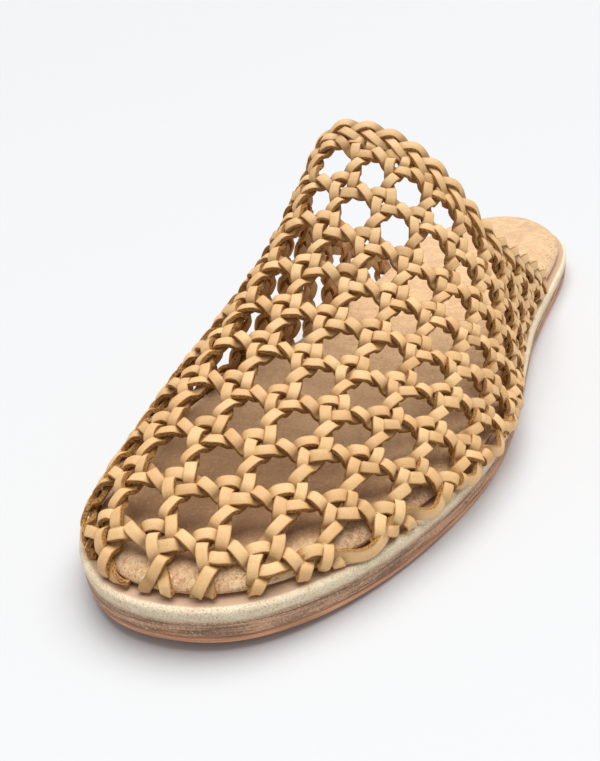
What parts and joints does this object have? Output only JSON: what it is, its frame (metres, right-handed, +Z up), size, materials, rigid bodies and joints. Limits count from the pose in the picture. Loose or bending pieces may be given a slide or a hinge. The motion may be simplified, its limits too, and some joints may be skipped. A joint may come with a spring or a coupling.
{
  "type": "woven mule",
  "caption": "Backless slip-on shoe for the left foot: an open lattice of woven leather strips with a braided collar, over a padded insole on a flat layered leather sole.",
  "frame": {"origin": "centre of the shoe's box in plan, on the floor under the sole", "axes": "+X towards the toe, +Y towards the outer side of the left foot, +Z up"},
  "size_m": [0.262, 0.091, 0.0799],
  "materials": {
    "outsole_leather": "smooth pinkish tan leather",
    "layer_leather": "rough cut brown leather edge",
    "midsole_leather": "pale undyed leather with an open grain",
    "insole_suede": "brushed tan leather",
    "strip_leather": "smooth matt tan leather with raw edges"
  },
  "bodies": {
    "root": {"outsole": "outsole_leather", "sole_layer": "layer_leather", "midsole": "midsole_leather", "insole": "insole_suede", "upper": "strip_leather"}
  },
  "joints": []
}
